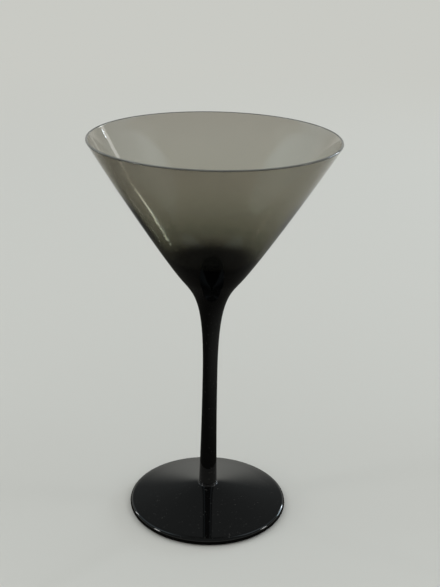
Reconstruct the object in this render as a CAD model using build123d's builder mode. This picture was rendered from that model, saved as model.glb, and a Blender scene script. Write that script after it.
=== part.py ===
"""Martini glass, blown and fused from three gathers of glass: a thin smoke-grey conical bowl, a drawn
black stem that opens like a trumpet under it, and a low black foot.

Millimetres, +Z up. The origin is the centre of the foot's resting plane, and every piece is turned
about the Z axis. Each outline is drawn in the XZ plane, as (radius, height).
"""

import os
from math import atan2, degrees

from build123d import *

# Overall sizes
HEIGHT = 181.0
RIM_DIAMETER = 110.0
FOOT_DIAMETER = 75.0

# Bowl
BOWL_HEIGHT = 64.0  # from the fused joint with the stem up to the rim
JOINT_DIAMETER = 28.0  # where the stem's trumpet carries the bowl
RIM_WALL = 1.05  # thickness at the drinking edge, which is fully rounded
LOWER_WALL = 1.45  # thickness where the wall runs into the rounded floor
FLOOR_REACH = 16.0  # along the outside of the wall, from the joint to where the floor's arc begins
JOINT_OPENING = 6.0  # degrees by which the wall opens wider than its chord at the joint
RIM_CLOSING = 3.7  # degrees by which the wall is steeper than its chord at the rim
JOINT_PULL = 14.5  # how far each end's direction holds along the wall
RIM_PULL = 10.0

# Stem
WAIST_DIAMETER = 6.9
WAIST_DROP = 45.5  # from the joint with the bowl down to the slimmest point
STEM_BASE_DIAMETER = 8.6
WAIST_PULL = 35.0  # how far the flare stays close to the waist's straight line
FLARE_PULL = 9.5  # how far it follows the bowl's slope below the joint

# Foot
FOOT_HEIGHT = 12.2  # up to the fused joint with the stem
EDGE_THICKNESS = 3.9  # the fully rounded outer edge
DOME_SLOPE = 11.5  # degrees, just inside the edge
NECK_HEIGHT = 1.1  # the short neck that the stem stands on, from the joint down to the dome
NECK_ROUND = 0.8  # between the neck and the dome
RING_WIDTH = 3.4  # the flat resting ring, between the rounded edge and the hollow
HOLLOW_DEPTH = 3.5  # under the foot, at its centre
HOLLOW_ROUND = 2.0  # between the hollow and the resting ring

# The groove round the fused joint of stem and foot: both ends are softened by this radius
CREASE_ROUND = 0.3

joint_radius = JOINT_DIAMETER / 2
joint_height = HEIGHT - BOWL_HEIGHT
waist = (WAIST_DIAMETER / 2, joint_height - WAIST_DROP)
joint = Vector(joint_radius, joint_height)


def leaning(angle):
    """Unit vector that leans outwards by this many degrees from straight up."""
    return Vector(0, 1).rotate(Axis.Z, -angle)


chord_lean = degrees(atan2(RIM_DIAMETER / 2 - joint_radius, BOWL_HEIGHT))
joint_direction = leaning(chord_lean + JOINT_OPENING)
rim_direction = leaning(chord_lean - RIM_CLOSING)

# Bowl: one closed outline of wall, rounded rim, inner wall and floor
rim_round = RIM_WALL / 2
rim_centre = Vector(RIM_DIAMETER / 2 - rim_round, HEIGHT - rim_round)
rim_outward = rim_direction.rotate(Axis.Z, -90)
rim_outside = rim_centre + rim_outward * rim_round
rim_inside = rim_centre - rim_outward * rim_round

with BuildPart() as bowl:
    with BuildSketch(Plane.XZ):
        with BuildLine():
            outer_wall = Bezier(
                joint,
                joint + joint_direction * JOINT_PULL,
                rim_outside - rim_direction * RIM_PULL,
                rim_outside,
            )
            ThreePointArc(rim_outside, rim_centre + rim_direction * rim_round, rim_inside)
            floor_start = outer_wall.position_at(FLOOR_REACH, PositionMode.LENGTH)
            floor_direction = outer_wall.tangent_at(FLOOR_REACH, PositionMode.LENGTH)
            floor_edge = floor_start + floor_direction.rotate(Axis.Z, 90) * LOWER_WALL
            inner_pull = (rim_inside - floor_edge).length / 3
            Bezier(
                rim_inside,
                rim_inside - rim_direction * inner_pull,
                floor_edge + floor_direction * inner_pull,
                floor_edge,
            )
            # The floor is part of a sphere that is centred on the axis and tangent to the inner wall
            sphere_radius = floor_edge.X / floor_direction.Y
            sphere_centre_height = floor_edge.Y + sphere_radius * floor_direction.X
            floor_height = sphere_centre_height - sphere_radius
            floor_arc = RadiusArc(floor_edge, (0, floor_height), sphere_radius)
            Polyline(floor_arc @ 1, (0, joint_height), joint)
        make_face()
    revolve(axis=Axis.Z)
bowl.part.label = "bowl"

# Stem: a long gentle taper up to the waist, then the trumpet that meets the bowl's wall in line
base_radius = STEM_BASE_DIAMETER / 2

with BuildPart() as stem:
    with BuildSketch(Plane.XZ):
        with BuildLine():
            taper = TangentArc(waist, (base_radius, FOOT_HEIGHT + CREASE_ROUND), tangent=(0, -1))
            crease = TangentArc(taper @ 1, (base_radius - CREASE_ROUND, FOOT_HEIGHT), tangent=taper % 1)
            Polyline(crease @ 1, (0, FOOT_HEIGHT), (0, joint_height), joint)
            Bezier(
                joint,
                joint - joint_direction * FLARE_PULL,
                Vector(*waist) + Vector(0, WAIST_PULL),
                waist,
            )
        make_face()
    revolve(axis=Axis.Z)
stem.part.label = "stem"

# Foot: a low dome with a rounded edge, a neck for the stem and a shallow hollow underneath
edge_round = EDGE_THICKNESS / 2
edge_centre = Vector(FOOT_DIAMETER / 2 - edge_round, edge_round)
edge_outermost = (FOOT_DIAMETER / 2, edge_round)
dome_edge = edge_centre + Vector(0, edge_round).rotate(Axis.Z, -DOME_SLOPE)
dome_direction = Vector(-1, 0).rotate(Axis.Z, -DOME_SLOPE)

with BuildPart() as foot:
    with BuildSketch(Plane.XZ):
        with BuildLine():
            hollow = TangentArc((0, HOLLOW_DEPTH), (edge_centre.X - RING_WIDTH, 0), tangent=(1, 0))
            resting_ring = Line(hollow @ 1, (edge_centre.X, 0))
            ThreePointArc(resting_ring @ 1, edge_outermost, dome_edge)
            dome = TangentArc(dome_edge, (base_radius, FOOT_HEIGHT - NECK_HEIGHT), tangent=dome_direction)
            neck = Line(dome @ 1, (base_radius, FOOT_HEIGHT - CREASE_ROUND))
            crease = TangentArc(neck @ 1, (base_radius - CREASE_ROUND, FOOT_HEIGHT), tangent=neck % 1)
            Polyline(crease @ 1, (0, FOOT_HEIGHT), hollow @ 0)
        make_face()
    revolve(axis=Axis.Z)
    rings = foot.edges().filter_by(GeomType.CIRCLE)
    neck_foot = rings.filter_by_position(Axis.Z, *[(dome @ 1).Y] * 2)
    hollow_edge = rings.group_by(Axis.Z)[0].sort_by(SortBy.RADIUS)[0]
    fillet(neck_foot, radius=NECK_ROUND)
    fillet(hollow_edge, radius=HOLLOW_ROUND)
foot.part.label = "foot"

os.makedirs("parts", exist_ok=True)
for piece in (bowl, stem, foot):
    export_step(piece.part, f"parts/{piece.part.label}.step")
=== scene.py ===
"""Looks for the martini glass: smoke-grey blown bowl, black stem and foot, in a pale studio."""

import math
from collections import defaultdict

import bmesh
import bpy
from mathutils import Matrix, Vector

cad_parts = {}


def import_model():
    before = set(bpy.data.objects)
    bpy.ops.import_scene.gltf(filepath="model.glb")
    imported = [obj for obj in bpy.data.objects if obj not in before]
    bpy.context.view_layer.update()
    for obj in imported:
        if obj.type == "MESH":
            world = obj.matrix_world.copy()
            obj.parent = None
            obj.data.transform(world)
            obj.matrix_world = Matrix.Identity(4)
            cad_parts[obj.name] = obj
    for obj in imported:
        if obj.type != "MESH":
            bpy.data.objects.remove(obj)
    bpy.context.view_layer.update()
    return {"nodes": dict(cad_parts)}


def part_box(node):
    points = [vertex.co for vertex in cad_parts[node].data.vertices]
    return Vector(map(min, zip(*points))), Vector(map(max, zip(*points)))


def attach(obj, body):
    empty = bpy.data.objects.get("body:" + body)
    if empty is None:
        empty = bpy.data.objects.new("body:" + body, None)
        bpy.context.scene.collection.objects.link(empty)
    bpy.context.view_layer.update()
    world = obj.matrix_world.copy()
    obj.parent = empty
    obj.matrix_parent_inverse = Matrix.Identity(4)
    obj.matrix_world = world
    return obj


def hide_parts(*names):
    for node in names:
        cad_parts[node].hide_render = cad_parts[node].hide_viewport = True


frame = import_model()

MM = 0.001
SEGMENTS = 384  # round each lathed piece
OUTLINE_STEP = 0.75 * MM  # between the points of a lathed outline
SHARP_TURN = math.radians(30)  # the outline is smooth between turns sharper than this
SHARP_EDGE = math.radians(40)  # and so is the shading over an edge less sharp than this
ON_SEAM = 1e-7  # how close to the XZ plane a seam's points lie
ON_AXIS = 1e-6
DECIMALS = 7  # to which two points of a seam are the same one
RIM_HEIGHT = 0.4 * MM  # the top of the rounded rim, painted pale grey as painted light


# ---------------------------------------------------------------- shapes


def meridian(node):
    """The node's outline as (radius, height) points in order, read along its seam at Y = 0."""
    mesh = frame["nodes"][node].data
    seam = {
        v.index: (round(v.co.x, DECIMALS), round(v.co.z, DECIMALS))
        for v in mesh.vertices
        if abs(v.co.y) < ON_SEAM and v.co.x > -ON_SEAM
    }
    joined = defaultdict(set)
    for edge in mesh.edges:
        a, b = (seam.get(i) for i in edge.vertices)
        if a and b and a != b:
            joined[a].add(b)
            joined[b].add(a)
    at = min(p for p in joined if len(joined[p]) == 1)
    path = [at]
    while True:
        onward = [p for p in joined[at] if p not in path]
        if not onward:
            return [Vector(p) for p in path]
        at = min(onward, key=lambda p: (Vector(p) - Vector(at)).length)
        path.append(at)


def corners(points):
    """Indices where the outline turns sharply, with both ends."""
    found = [0]
    for i in range(1, len(points) - 1):
        if (points[i] - points[i - 1]).angle(points[i + 1] - points[i]) > SHARP_TURN:
            found.append(i)
    return [*found, len(points) - 1]


def between(first, second, t, start, end):
    """The point that goes from the first to the second as t goes from start to end."""
    return first * ((end - t) / (end - start)) + second * ((t - start) / (end - start))


def catmull_rom(points, knots, t):
    """The curve's point at t, which lies between the middle two of four points and their knots."""
    (a, b, c, d), (at_a, at_b, at_c, at_d) = points, knots
    ab = between(a, b, t, at_a, at_b)
    bc = between(b, c, t, at_b, at_c)
    cd = between(c, d, t, at_c, at_d)
    abc = between(ab, bc, t, at_a, at_c)
    bcd = between(bc, cd, t, at_b, at_d)
    return between(abc, bcd, t, at_b, at_c)


def smooth_run(points):
    """Points along a centripetal Catmull-Rom curve through these, about a step apart."""
    if len(points) < 3:
        return points
    ends = [points[0] * 2 - points[1], *points, points[-1] * 2 - points[-2]]
    knots = [0.0]
    for a, b in zip(ends, ends[1:]):
        knots.append(knots[-1] + math.sqrt((b - a).length))
    run = [points[0]]
    for i in range(1, len(ends) - 2):
        four, at = ends[i - 1 : i + 3], knots[i - 1 : i + 3]
        count = max(1, round((four[2] - four[1]).length / OUTLINE_STEP))
        for j in range(1, count + 1):
            run.append(catmull_rom(four, at, at[1] + (at[2] - at[1]) * j / count))
    return run


def circle(bm, radius, height):
    """A ring of vertices about the Z axis, or one vertex where it meets the axis."""
    if radius < ON_AXIS:
        return [bm.verts.new((0, 0, height))]
    ring = []
    for i in range(SEGMENTS):
        turn = 2 * math.pi * i / SEGMENTS
        ring.append(bm.verts.new((radius * math.cos(turn), radius * math.sin(turn), height)))
    return ring


def lathe(name, node, material):
    """A closed mesh turned about Z from the CAD node's own outline, and standing for that node."""
    outline = meridian(node)
    turns = corners(outline)
    runs = [smooth_run(outline[a : b + 1]) for a, b in zip(turns, turns[1:])]
    points = [runs[0][0]] + [p for run in runs for p in run[1:]]
    bm = bmesh.new()
    rings = [circle(bm, radius, height) for radius, height in points]
    for low, high in zip(rings, rings[1:]):
        for i in range(SEGMENTS):
            j = (i + 1) % SEGMENTS
            quad = [
                low[i % len(low)],
                low[j % len(low)],
                high[j % len(high)],
                high[i % len(high)],
            ]
            bm.faces.new(list(dict.fromkeys(quad)))  # a triangle where one ring is on the axis
    for ring in (rings[0], rings[-1]):
        if len(ring) > 1:
            centre = bm.verts.new((0, 0, ring[0].co.z))
            for i in range(SEGMENTS):
                bm.faces.new([centre, ring[i], ring[(i + 1) % SEGMENTS]])
    bmesh.ops.recalc_face_normals(bm, faces=bm.faces)
    mesh = bpy.data.meshes.new(name)
    bm.to_mesh(mesh)
    bm.free()
    mesh.shade_smooth()
    mesh.set_sharp_from_angle(angle=SHARP_EDGE)
    mesh.materials.append(material)
    piece = bpy.data.objects.new(name, mesh)
    bpy.context.scene.collection.objects.link(piece)
    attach(piece, "root")
    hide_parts(node)
    return piece


# ---------------------------------------------------------------- nodes


def new_material(name):
    """A material with its node tree and its Principled shader."""
    material = bpy.data.materials.new(name)
    material.use_nodes = True
    return material, material.node_tree, material.node_tree.nodes["Principled BSDF"]


def feed(tree, socket, value):
    """Set a socket to a constant, or link it to another node's output."""
    if isinstance(value, bpy.types.NodeSocket):
        tree.links.new(value, socket)
    else:
        socket.default_value = value


def place(tree, kind="Object"):
    """The shaded point, or in the world the direction that is looked in."""
    return tree.nodes.new("ShaderNodeTexCoord").outputs[kind]


def spread(tree, value, start, end, low=0.0, high=1.0, interpolation="LINEAR"):
    """The value, mapped so that start gives low and end gives high, and held beyond them."""
    span = tree.nodes.new("ShaderNodeMapRange")
    span.interpolation_type = interpolation
    span.inputs["From Min"].default_value = start
    span.inputs["From Max"].default_value = end
    span.inputs["To Min"].default_value = low
    span.inputs["To Max"].default_value = high
    feed(tree, span.inputs["Value"], value)
    return span.outputs["Result"]


def ease(tree, value, start, end):
    """0 up to the start and 1 from the end on, with a smooth step between."""
    return spread(tree, value, start, end, interpolation="SMOOTHSTEP")


def blend(tree, factor, first, second):
    """A colour that goes from the first to the second as the factor goes from 0 to 1."""
    mix = tree.nodes.new("ShaderNodeMix")
    mix.data_type = "RGBA"
    feed(tree, mix.inputs["Factor"], factor)
    feed(tree, mix.inputs["A"], first)
    feed(tree, mix.inputs["B"], second)
    return mix.outputs["Result"]


def maths(tree, operation, *values):
    """The result of one Math node."""
    node = tree.nodes.new("ShaderNodeMath")
    node.operation = operation
    for socket, value in zip(node.inputs, values):
        feed(tree, socket, value)
    return node.outputs[0]


def ramp(tree, value, stops):
    """A colour ramp over any value, from (value, colour) stops."""
    low, high = stops[0][0], stops[-1][0]
    colours = tree.nodes.new("ShaderNodeValToRGB")
    elements = colours.color_ramp.elements
    while len(elements) < len(stops):
        elements.new(0.5)
    for element, (at, colour) in zip(elements, stops):
        element.position = (at - low) / (high - low)
        element.color = (*colour[:3], 1)
    feed(tree, colours.inputs["Fac"], spread(tree, value, low, high))
    return colours.outputs["Color"]


def noise(tree, scale, detail, low=0.0, high=1.0):
    """A value that drifts between low and high over the surface; scale in features per metre."""
    grain = tree.nodes.new("ShaderNodeTexNoise")
    grain.inputs["Scale"].default_value = scale
    grain.inputs["Detail"].default_value = detail
    feed(tree, grain.inputs["Vector"], place(tree))
    return spread(tree, grain.outputs["Fac"], 0.3, 0.7, low, high)  # most of the noise's own range


def waves(tree, shader, scale, depth):
    """The faint unevenness of blown glass, as a bump this deep in metres."""
    bump = tree.nodes.new("ShaderNodeBump")
    bump.inputs["Distance"].default_value = depth
    feed(tree, bump.inputs["Height"], noise(tree, scale, detail=1))
    feed(tree, shader.inputs["Normal"], bump.outputs["Normal"])


# ---------------------------------------------------------------- glass


GLASS_IOR = 1.5

# What each wall lets through, by millimetres above the joint with the stem
SMOKE_TINTS = [
    (0, (0.001, 0.001, 0.001)),
    (5.5, (0.003, 0.003, 0.003)),
    (7, (0.045, 0.045, 0.038)),
    (9, (0.155, 0.155, 0.13)),
    (11, (0.25, 0.25, 0.21)),
    (16, (0.36, 0.365, 0.305)),
    (20, (0.44, 0.44, 0.375)),
    (26, (0.54, 0.535, 0.465)),
    (34, (0.595, 0.58, 0.515)),
    (64, (0.60, 0.575, 0.525)),
]
SMOKE_DRIFT = (0.2, 0.2, 0.18, 1)  # the tint wanders a little way towards this
SMOKE_VOLUME = (0.27, 0.21, 0.09, 1)  # the rest of the colour, which grows with the glass's depth
SMOKE_DENSITY = 190  # per metre

BLACK_BODY = (0.002, 0.002, 0.002, 1)
LINT = (0.05, 0.05, 0.045, 1)

# Painted light: the rim's top is painted pale grey and is only half clear, so that it looks lit
# and not like a dark line.
RIM_PAINTED_LIGHT = (0.31, 0.31, 0.28, 1), (0.37, 0.37, 0.34, 1)
RIM_CLEARNESS = 0.5


def smoke_glass():
    """Clear smoke-grey glass that darkens to black at the foot of the bowl."""
    material, tree, shader = new_material("smoke_glass")
    split = tree.nodes.new("ShaderNodeSeparateXYZ")
    feed(tree, split.inputs[0], place(tree))
    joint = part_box("bowl")[0].z
    tint = ramp(tree, split.outputs["Z"], [(joint + up * MM, tone) for up, tone in SMOKE_TINTS])
    drift = noise(tree, scale=60, detail=2, high=0.03)
    feed(tree, shader.inputs["Base Color"], blend(tree, drift, tint, SMOKE_DRIFT))
    shader.inputs["Transmission Weight"].default_value = 1
    shader.inputs["IOR"].default_value = GLASS_IOR
    feed(tree, shader.inputs["Roughness"], noise(tree, scale=90, detail=3, high=0.012))
    waves(tree, shader, scale=35, depth=0.06 * MM)
    absorb = tree.nodes.new("ShaderNodeVolumeAbsorption")
    absorb.inputs["Color"].default_value = SMOKE_VOLUME
    absorb.inputs["Density"].default_value = SMOKE_DENSITY
    feed(tree, tree.nodes["Material Output"].inputs["Volume"], absorb.outputs[0])
    return material


def rim_glass(smoke):
    """The fire-polished rim: the same glass, its top painted pale grey and half diffuse as painted
    light, so that it looks lit and not dark.
    """
    material = smoke.copy()
    material.name = "rim_glass"
    tree = material.node_tree
    shader = tree.nodes["Principled BSDF"]
    drift = noise(tree, scale=150, detail=2)
    feed(tree, shader.inputs["Base Color"], blend(tree, drift, *RIM_PAINTED_LIGHT))
    shader.inputs["Transmission Weight"].default_value = RIM_CLEARNESS
    return material


def black_glass():
    """Opaque black glass with a few specks of lint."""
    material, tree, shader = new_material("black_glass")
    peaks = noise(tree, scale=900, detail=2, low=-9, high=1)  # mostly far below 0
    lint = ease(tree, peaks, 0.6, 1.4)
    feed(tree, shader.inputs["Base Color"], blend(tree, lint, BLACK_BODY, LINT))
    shader.inputs["IOR"].default_value = GLASS_IOR
    polish = noise(tree, scale=120, detail=4, low=0.015, high=0.05)
    feed(tree, shader.inputs["Roughness"], polish)
    waves(tree, shader, scale=30, depth=0.08 * MM)
    return material


smoke, black = smoke_glass(), black_glass()
bowl = lathe("bowl_glass", "bowl", smoke)
lathe("stem_glass", "stem", black)
lathe("foot_glass", "foot", black)

# the faces at the top of the rim get the painted light of rim_glass
bowl.data.materials.append(rim_glass(smoke))
rim_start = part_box("bowl")[1].z - RIM_HEIGHT
for face in bowl.data.polygons:
    face.material_index = int(face.center.z > rim_start)


# ---------------------------------------------------------------- studio


# Azimuths are in degrees about the glass: 0 is towards the camera, 90 to its right.

BACKDROP = (0.583, 0.590, 0.553, 1)  # what the camera sees behind the glass

FLOOR_RADIUS = 12  # metres
FLOOR_PALE = (0.70, 0.688, 0.641, 1)
TABLE_DARK = (0.05, 0.047, 0.041, 1)
TABLE_CENTRE = (-0.08, 0.05, 0)
TABLE_EDGE = 0.12, 0.50  # metres from that centre over which the dark table gives way to the floor
INNER_EDGE = 0.16, 0.26  # the same, for rays that come out through the glass
FLOOR_END = 0.45, 1.3  # where the floor gives way to the backdrop

DIM = (0.16, 0.17, 0.17, 1)
RIGHT = (0.86, 1.00, 1.08)
LEFT = (0.84, 1.04, 1.12)
RING = [  # by azimuth
    (-180, BACKDROP),
    (-150, BACKDROP),
    (-138, (0.50, 0.54, 0.54)),
    (-118, (0.50, 0.62, 0.68)),
    (-84, LEFT),
    (0, LEFT),
    (60, RIGHT),
    (90, RIGHT),
    (104, (0.46, 0.56, 0.62)),
    (130, (0.35, 0.40, 0.42)),
    (152, (0.34, 0.36, 0.35)),
    (162, BACKDROP),
    (180, BACKDROP),
]
RING_SLANT = 2.3  # degrees of azimuth by which the ring comes forward for each degree up
RING_TOP = 45  # the elevation above which it comes no further
RING_EDGE = 166, 170  # azimuths between which it begins, at the horizon
HORIZON = 12, 6  # elevations between which the ring gives way to the backdrop
CEILING_LEAN = 0.6  # how much lower the ceiling starts behind the glass
CEILING_EDGE = 0.75, 0.95  # where it starts beside the glass, as sines of the elevation

WHITE = (1, 1, 1)
LAMP_DISTANCE = 2.0  # metres
AIM = Vector((0, 0, 0.09))  # half-way up the glass
LAMPS = [  # azimuth, elevation, width and height in degrees as the glass sees them, radiance
    ("window_right", 86, 14, 9, 14, 8.0, WHITE),
    ("window_far_right", 134.5, 12, 5, 10.4, 20.0, (0.80, 0.90, 1.0)),
    ("window_far_right_top", 134.5, 22.6, 4.5, 10.8, 1.6, WHITE),
    ("window_far_right_haze", 124, 12, 15, 10.4, 6.0, (0.70, 0.88, 1.0)),
    ("window_left", -72, 14, 9, 14, 9.0, WHITE),
    ("window_far_left", -117, 14, 4, 16, 7.0, WHITE),
]
SKY_ANGLE = 120  # how wide a part of the sky the light from above fills
SKY_STRENGTH = 1.45

FOCAL_LENGTH = 64.31  # for a sensor 36 mm tall
CAMERA_PLACE = (0.0017, -0.4409, 0.2823)
CAMERA_TURN = 0.27, 21.40, 1.34  # yaw to the right, pitch down, roll


def floor():
    """A round pale floor, which far off turns into the backdrop, so that no horizon shows.

    The glass reflects a dark table near it, outside and inside, in place of the pale floor.
    """
    bm = bmesh.new()
    bmesh.ops.create_circle(bm, cap_ends=True, segments=128, radius=FLOOR_RADIUS)
    mesh = bpy.data.meshes.new("floor")
    bm.to_mesh(mesh)
    bm.free()
    material, tree, shader = new_material("floor")
    away = tree.nodes.new("ShaderNodeVectorMath")
    away.operation = "DISTANCE"
    feed(tree, away.inputs[0], place(tree))
    away.inputs[1].default_value = TABLE_CENTRE
    distance = away.outputs["Value"]
    table = blend(tree, ease(tree, distance, *TABLE_EDGE), TABLE_DARK, FLOOR_PALE)
    rays = tree.nodes.new("ShaderNodeLightPath").outputs
    beyond = ease(tree, distance, *INNER_EDGE)
    through = maths(tree, "MULTIPLY", rays["Is Transmission Ray"], beyond)
    seen = maths(tree, "MAXIMUM", rays["Is Camera Ray"], through)
    feed(tree, shader.inputs["Base Color"], blend(tree, seen, table, FLOOR_PALE))
    shader.inputs["Roughness"].default_value = 1.0
    shader.inputs["Specular IOR Level"].default_value = 0.0
    plain = tree.nodes.new("ShaderNodeEmission")
    plain.inputs["Color"].default_value = BACKDROP
    fade = tree.nodes.new("ShaderNodeMixShader")
    end = ease(tree, distance, *FLOOR_END)
    feed(tree, fade.inputs[0], maths(tree, "MULTIPLY", seen, end))
    feed(tree, fade.inputs[1], shader.outputs[0])
    feed(tree, fade.inputs[2], plain.outputs[0])
    feed(tree, tree.nodes["Material Output"].inputs["Surface"], fade.outputs[0])
    mesh.materials.append(material)
    plane = bpy.data.objects.new("floor", mesh)
    bpy.context.scene.collection.objects.link(plane)


def world():
    """The room that the glass reflects.

    It is dim, with a bright ring that comes forward from behind the glass as it rises, under a dim
    ceiling. The backdrop is near the horizon, and wherever the camera looks past the floor.
    """
    made = bpy.data.worlds.new("studio")
    bpy.context.scene.world = made
    made.use_nodes = True
    tree = made.node_tree
    split = tree.nodes.new("ShaderNodeSeparateXYZ")
    feed(tree, split.inputs[0], place(tree, "Generated"))
    x, y, z = split.outputs
    azimuth = maths(tree, "ARCTAN2", x, maths(tree, "MULTIPLY", y, -1.0))
    ring = ramp(tree, azimuth, [(math.radians(turn), colour) for turn, colour in RING])
    elevation = maths(tree, "MINIMUM", maths(tree, "ARCSINE", z), math.radians(RING_TOP))
    forward = maths(tree, "MULTIPLY", elevation, RING_SLANT)
    beside = maths(tree, "ADD", maths(tree, "ABSOLUTE", azimuth), forward)
    side = ease(tree, beside, *(math.radians(turn) for turn in RING_EDGE))
    low = ease(tree, z, *(math.sin(math.radians(up)) for up in HORIZON))
    leaning = maths(tree, "ADD", z, maths(tree, "MULTIPLY", y, CEILING_LEAN))
    high = ease(tree, leaning, *CEILING_EDGE)
    walls = blend(tree, low, blend(tree, side, DIM, ring), BACKDROP)
    room = blend(tree, high, walls, DIM)
    rays = tree.nodes.new("ShaderNodeLightPath").outputs
    shown = blend(tree, rays["Is Camera Ray"], room, BACKDROP)
    feed(tree, tree.nodes["Background"].inputs["Color"], shown)


def toward(azimuth, elevation):
    """Unit vector from the glass."""
    a, e = math.radians(azimuth), math.radians(elevation)
    return Vector((math.sin(a) * math.cos(e), -math.cos(a) * math.cos(e), math.sin(e)))


def softbox(name, azimuth, elevation, width, height, radiance, colour):
    """A rectangular lamp that faces the glass."""
    lamp = bpy.data.lights.new(name, "AREA")
    lamp.shape = "RECTANGLE"
    lamp.size = 2 * LAMP_DISTANCE * math.tan(math.radians(width / 2))
    lamp.size_y = 2 * LAMP_DISTANCE * math.tan(math.radians(height / 2))
    lamp.energy = radiance * math.pi * lamp.size * lamp.size_y
    lamp.color = colour
    holder = bpy.data.objects.new(name, lamp)
    direction = toward(azimuth, elevation)
    holder.location = direction * LAMP_DISTANCE + AIM
    holder.rotation_euler = direction.to_track_quat("Z", "Y").to_euler()
    holder.visible_camera = False
    bpy.context.scene.collection.objects.link(holder)


def sky():
    """Soft light from straight above, for the floor and the shadow under the glass."""
    lamp = bpy.data.lights.new("sky", "SUN")
    lamp.angle = math.radians(SKY_ANGLE)
    lamp.energy = SKY_STRENGTH
    holder = bpy.data.objects.new("sky", lamp)
    holder.visible_camera = holder.visible_transmission = holder.visible_glossy = False
    bpy.context.scene.collection.objects.link(holder)


def camera():
    """A camera in front of the glass, looking a little down on it."""
    lens = bpy.data.cameras.new("camera")
    lens.lens = FOCAL_LENGTH
    lens.clip_start = 0.01
    holder = bpy.data.objects.new("camera", lens)
    yaw, pitch, roll = (math.radians(angle) for angle in CAMERA_TURN)
    level = Vector((math.sin(yaw), math.cos(yaw), 0))
    ahead = level * math.cos(pitch) - Vector((0, 0, math.sin(pitch)))
    right = Vector((math.cos(yaw), -math.sin(yaw), 0))
    up = right.cross(ahead)
    across = right * math.cos(roll) + up * math.sin(roll)
    above = up * math.cos(roll) - right * math.sin(roll)
    turn = Matrix((across, above, -ahead)).transposed().to_4x4()
    holder.matrix_world = Matrix.Translation(CAMERA_PLACE) @ turn
    bpy.context.scene.collection.objects.link(holder)
    bpy.context.scene.camera = holder


floor()
world()
sky()
camera()
for lamp in LAMPS:
    softbox(*lamp)
bpy.context.scene.view_settings.view_transform = "Standard"
